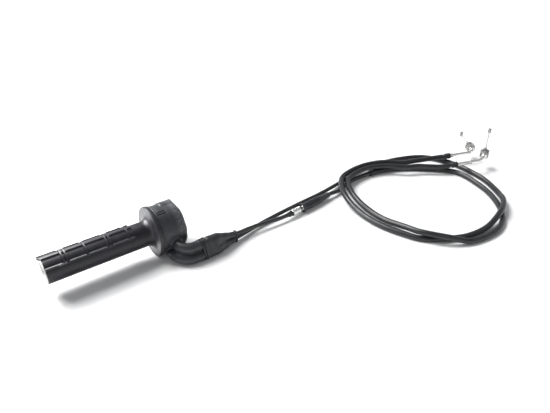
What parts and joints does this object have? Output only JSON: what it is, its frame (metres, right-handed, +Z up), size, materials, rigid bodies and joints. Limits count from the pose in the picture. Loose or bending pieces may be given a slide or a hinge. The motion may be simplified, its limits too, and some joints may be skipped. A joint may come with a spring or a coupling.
{
  "type": "throttle grip",
  "caption": "Twist throttle for a handlebar: rubber grip on a throttle tube, covered housing, and a pull and a push cable with adjuster and elbow ends.",
  "frame": {"origin": "on the handlebar's axis, at the middle of the housing's clamp bore", "axes": "+X along the handlebar towards its middle, away from the grip; +Z up, square to the flat surface the assembly rests on; the cables leave the housing towards -Y and then run along +X"},
  "size_m": [0.6452, 0.24, 0.057],
  "materials": {
    "grip_rubber": "moulded half-waffle pattern, satin",
    "tube_plastic": "natural acetal",
    "washer_plastic": "natural nylon",
    "housing_alloy": "cast, tumbled",
    "screw_steel": "zinc plated",
    "cover_rubber": "soft satin rubber",
    "brass": "turned",
    "wire_steel": "stranded wire",
    "guide_steel": "black passivated tube",
    "conduit_plastic": "extruded conduit jacket",
    "sleeve_plastic": "extruded protective sleeve",
    "band_rubber": "matt band",
    "ferrule_black": "black",
    "bright_zinc": "bright zinc plate",
    "boot_rubber": "soft rubber",
    "cap_black": "moulded cap"
  },
  "bodies": {
    "housing": {"thrust_washer": "washer_plastic", "housing_upper": "housing_alloy", "housing_lower": "housing_alloy", "housing_screws": "screw_steel", "housing_cover": "cover_rubber", "pull_guide_tube": "guide_steel", "push_guide_tube": "guide_steel", "dust_boot": "boot_rubber", "pull_wire": "wire_steel", "push_wire": "wire_steel", "pull_conduit_front": "conduit_plastic", "pull_conduit_rear": "conduit_plastic", "push_conduit": "conduit_plastic", "pull_sleeve": "sleeve_plastic", "push_sleeve": "sleeve_plastic", "sleeve_bands": "band_rubber", "adjuster_ferrule": "ferrule_black", "adjuster_barrel": "bright_zinc", "pull_end_cap": "cap_black", "push_end_cap": "cap_black", "pull_elbow": "bright_zinc", "push_elbow": "bright_zinc"},
    "throttle": {"throttle_tube": "tube_plastic", "grip_rubber": "grip_rubber", "pull_drum_nipple": "brass", "push_drum_nipple": "brass", "pull_drum_wire": "wire_steel", "push_drum_wire": "wire_steel"},
    "adjuster_screw_body": {"adjuster_screw": "bright_zinc"},
    "lock_nut_body": {"adjuster_lock_nut": "bright_zinc"},
    "adjuster_boot_body": {"adjuster_boot": "boot_rubber"},
    "pull_inner_nut_body": {"pull_inner_nut": "bright_zinc"},
    "pull_outer_nut_body": {"pull_outer_nut": "bright_zinc"},
    "push_inner_nut_body": {"push_inner_nut": "bright_zinc"},
    "push_outer_nut_body": {"push_outer_nut": "bright_zinc"},
    "pull_wire_end": {"pull_wire_tip": "wire_steel", "pull_nipple": "bright_zinc"},
    "push_wire_end": {"push_wire_tip": "wire_steel", "push_nipple": "bright_zinc"}
  },
  "joints": [
    {"name": "throttle_twist", "type": "hinge", "parent": "housing", "child": "throttle", "pos_m": [0, 0, 0], "axis": [-1, 0, 0], "range_deg": [0, 75]},
    {"name": "pull_wire_slide", "type": "slide", "parent": "housing", "child": "pull_wire_end", "axis": [0.8573, 0.4806, 0.1844], "range_m": [-0.0197, 0]},
    {"name": "push_wire_slide", "type": "slide", "parent": "housing", "child": "push_wire_end", "axis": [0.5819, 0.8108, 0.0627], "range_m": [0, 0.0197]},
    {"name": "adjuster_screw_turn", "type": "hinge", "parent": "housing", "child": "adjuster_screw_body", "pos_m": [0.16191, -0.03458, -0.0223], "axis": [0.9954, 0.0958, 0], "continuous": true},
    {"name": "lock_nut_turn", "type": "hinge", "parent": "housing", "child": "lock_nut_body", "pos_m": [0.15653, -0.0351, -0.0223], "axis": [0.9954, 0.0958, 0], "continuous": true},
    {"name": "adjuster_boot_slide", "type": "slide", "parent": "housing", "child": "adjuster_boot_body", "axis": [0.9954, 0.0958, 0], "range_m": [-0.013, 0]},
    {"name": "pull_inner_nut_turn", "type": "hinge", "parent": "housing", "child": "pull_inner_nut_body", "pos_m": [0.44509, -0.09849, -0.00725], "axis": [0.8573, 0.4806, 0.1844], "continuous": true},
    {"name": "pull_outer_nut_turn", "type": "hinge", "parent": "housing", "child": "pull_outer_nut_body", "pos_m": [0.4498, -0.09585, -0.00623], "axis": [0.8573, 0.4806, 0.1844], "continuous": true},
    {"name": "push_inner_nut_turn", "type": "hinge", "parent": "housing", "child": "push_inner_nut_body", "pos_m": [0.45529, -0.06923, -0.01063], "axis": [0.5819, 0.8108, 0.0627], "continuous": true},
    {"name": "push_outer_nut_turn", "type": "hinge", "parent": "housing", "child": "push_outer_nut_body", "pos_m": [0.45849, -0.06477, -0.01029], "axis": [0.5819, 0.8108, 0.0627], "continuous": true}
  ],
  "couplings": [
    {"joint": "pull_wire_slide", "follows": "throttle_twist", "m_per_rad": -0.015},
    {"joint": "push_wire_slide", "follows": "throttle_twist", "m_per_rad": 0.015}
  ]
}
